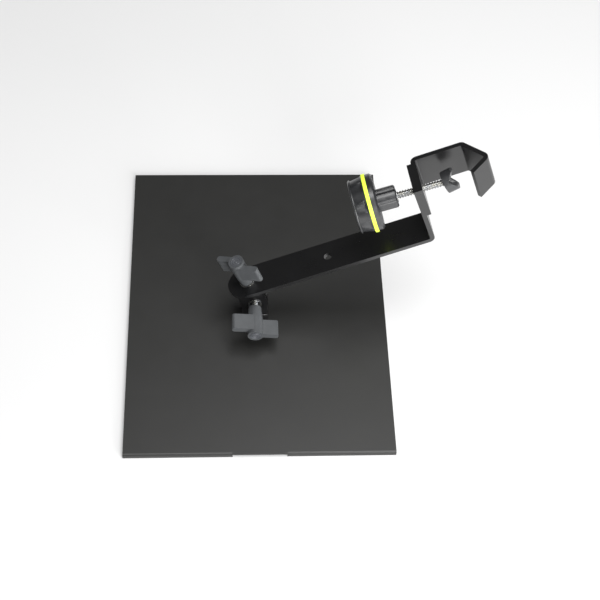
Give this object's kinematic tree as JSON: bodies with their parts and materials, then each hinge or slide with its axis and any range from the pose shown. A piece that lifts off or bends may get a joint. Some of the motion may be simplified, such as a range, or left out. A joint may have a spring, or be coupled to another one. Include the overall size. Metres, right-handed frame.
{
  "type": "clamp-on tray for a stand tube",
  "caption": "Flat steel tray with a retaining lip on a tilting and turning flat-bar arm, with a bent V jaw and a hand-turned clamp screw that grips a stand tube.",
  "frame": {"origin": "centre of the tray's flat load face, which faces down as the tray lies face down", "axes": "+X across the tray towards the clamp side, +Y from the lip edge to the back edge, +Z away from the load face towards the arm"},
  "size_m": [0.4061, 0.4, 0.238],
  "materials": {
    "tray_coat": "satin black powder coat",
    "arm_coat": "satin black powder coat",
    "wing_plastic": "fine-textured moulded nylon, dark grey",
    "cap_plastic": "smooth moulded cap, dark grey",
    "knob_plastic": "moulded black nylon",
    "ring_rubber": "neon yellow-green soft rubber",
    "zinc": "zinc-plated steel",
    "spacer_nylon": "plain black nylon",
    "pad_plastic": "moulded black nylon"
  },
  "bodies": {
    "tray": {"tray_plate": "tray_coat", "tray_bracket": "arm_coat", "bracket_welds": "arm_coat", "tilt_bolt": "zinc", "tilt_spacer": "spacer_nylon", "tilt_washer": "zinc"},
    "tilt_wing": {"tilt_knob": "wing_plastic", "tilt_knob_cap": "cap_plastic"},
    "bracket": {"arm_bracket": "arm_coat", "swivel_bolt": "zinc", "swivel_spacer": "spacer_nylon", "swivel_washer": "zinc"},
    "swivel_wing": {"swivel_knob": "wing_plastic", "swivel_knob_cap": "cap_plastic"},
    "arm": {"support_arm": "arm_coat", "hook_jaw": "arm_coat", "jaw_welds": "arm_coat"},
    "carrier": {"thrust_washer": "zinc"},
    "screw": {"clamp_screw": "zinc", "knob_body": "knob_plastic", "knob_back_cover": "knob_plastic", "knob_ring": "ring_rubber", "knob_insert": "zinc", "pad_clip": "zinc"},
    "pad": {"pressure_pad": "pad_plastic"}
  },
  "joints": [
    {"name": "tray_tilt", "type": "hinge", "parent": "tray", "child": "bracket", "pos_m": [-0.0035, -0.019, 0.032], "axis": [0, -1, 0], "range_deg": [-35, 60]},
    {"name": "tilt_knob_turn", "type": "hinge", "parent": "tray", "child": "tilt_wing", "pos_m": [-0.0035, -0.045, 0.032], "axis": [0, -1, 0], "range_deg": [0, 360]},
    {"name": "arm_swing", "type": "hinge", "parent": "bracket", "child": "arm", "pos_m": [-0.01229, -0.007, 0.05753], "axis": [-0.3256, 0, 0.9455], "range_deg": [-20, 80]},
    {"name": "swivel_knob_turn", "type": "hinge", "parent": "bracket", "child": "swivel_wing", "pos_m": [-0.02043, -0.007, 0.08117], "axis": [-0.3256, 0, 0.9455], "range_deg": [0, 360]},
    {"name": "clamp_travel", "type": "slide", "parent": "arm", "child": "carrier", "axis": [0.9544, 0.12, 0.2733], "range_m": [-0.02, 0.01]},
    {"name": "clamp_turn", "type": "hinge", "parent": "carrier", "child": "screw", "pos_m": [0.17261, 0.01931, 0.18835], "axis": [0.9544, 0.12, 0.2733], "range_deg": [-2405, 1203]},
    {"name": "pad_swivel", "type": "hinge", "parent": "carrier", "child": "pad", "pos_m": [0.17261, 0.01931, 0.18835], "axis": [0.9544, 0.12, 0.2733], "range_deg": [-180, 180]}
  ],
  "couplings": [
    {"joint": "clamp_turn", "follows": "clamp_travel", "rad_per_m": 2094.4}
  ]
}
